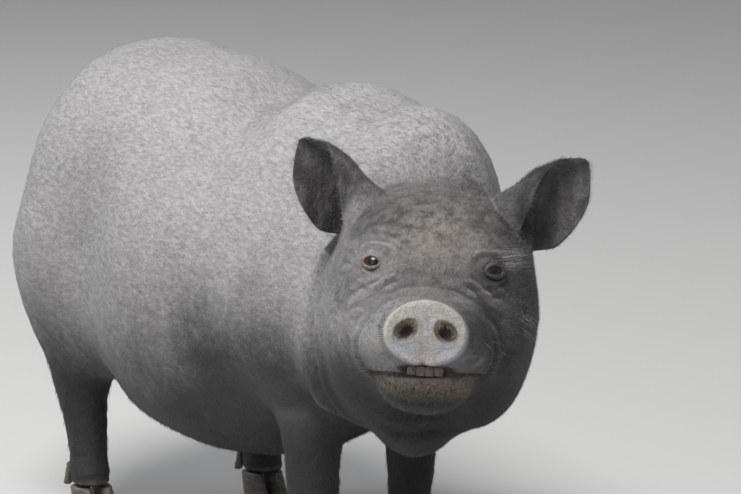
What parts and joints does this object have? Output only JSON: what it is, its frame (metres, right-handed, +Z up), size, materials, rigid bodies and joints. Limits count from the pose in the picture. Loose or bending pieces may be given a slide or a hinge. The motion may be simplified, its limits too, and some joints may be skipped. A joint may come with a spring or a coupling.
{
  "type": "pot-bellied pig",
  "caption": "Fat slate-grey pot-bellied pig, a still life-size model that stands on its own feet with its head turned to its right.",
  "frame": {"origin": "on the floor, under the middle of the pig's bounding box", "axes": "+Z up, the pig faces -Y, its left side is +X"},
  "size_m": [0.3684, 0.9864, 0.5041],
  "materials": {
    "hide": "matte",
    "dark_hide": "matte",
    "snout_skin": "satin",
    "horn": "satin",
    "ivory": "satin",
    "eye": "gloss"
  },
  "bodies": {
    "root": {"claw_fore_left_inner": "horn", "claw_fore_left_outer": "horn", "claw_fore_right_inner": "horn", "claw_fore_right_outer": "horn", "claw_hind_left_inner": "horn", "claw_hind_left_outer": "horn", "claw_hind_right_inner": "horn", "claw_hind_right_outer": "horn", "dewclaw_fore_left_inner": "horn", "dewclaw_fore_left_outer": "horn", "dewclaw_fore_right_inner": "horn", "dewclaw_fore_right_outer": "horn", "dewclaw_hind_left_inner": "horn", "dewclaw_hind_left_outer": "horn", "dewclaw_hind_right_inner": "horn", "dewclaw_hind_right_outer": "horn", "ear_left": "dark_hide", "ear_right": "dark_hide", "eye_left": "eye", "eye_right": "eye", "forefoot_left": "hide", "forefoot_right": "hide", "foreleg_left": "hide", "foreleg_right": "hide", "head": "hide", "hindfoot_left": "hide", "hindfoot_right": "hide", "hindleg_left": "hide", "hindleg_right": "hide", "lower_jaw": "hide", "neck": "hide", "snout": "snout_skin", "tail": "hide", "teeth": "ivory", "trunk": "hide"}
  },
  "joints": []
}
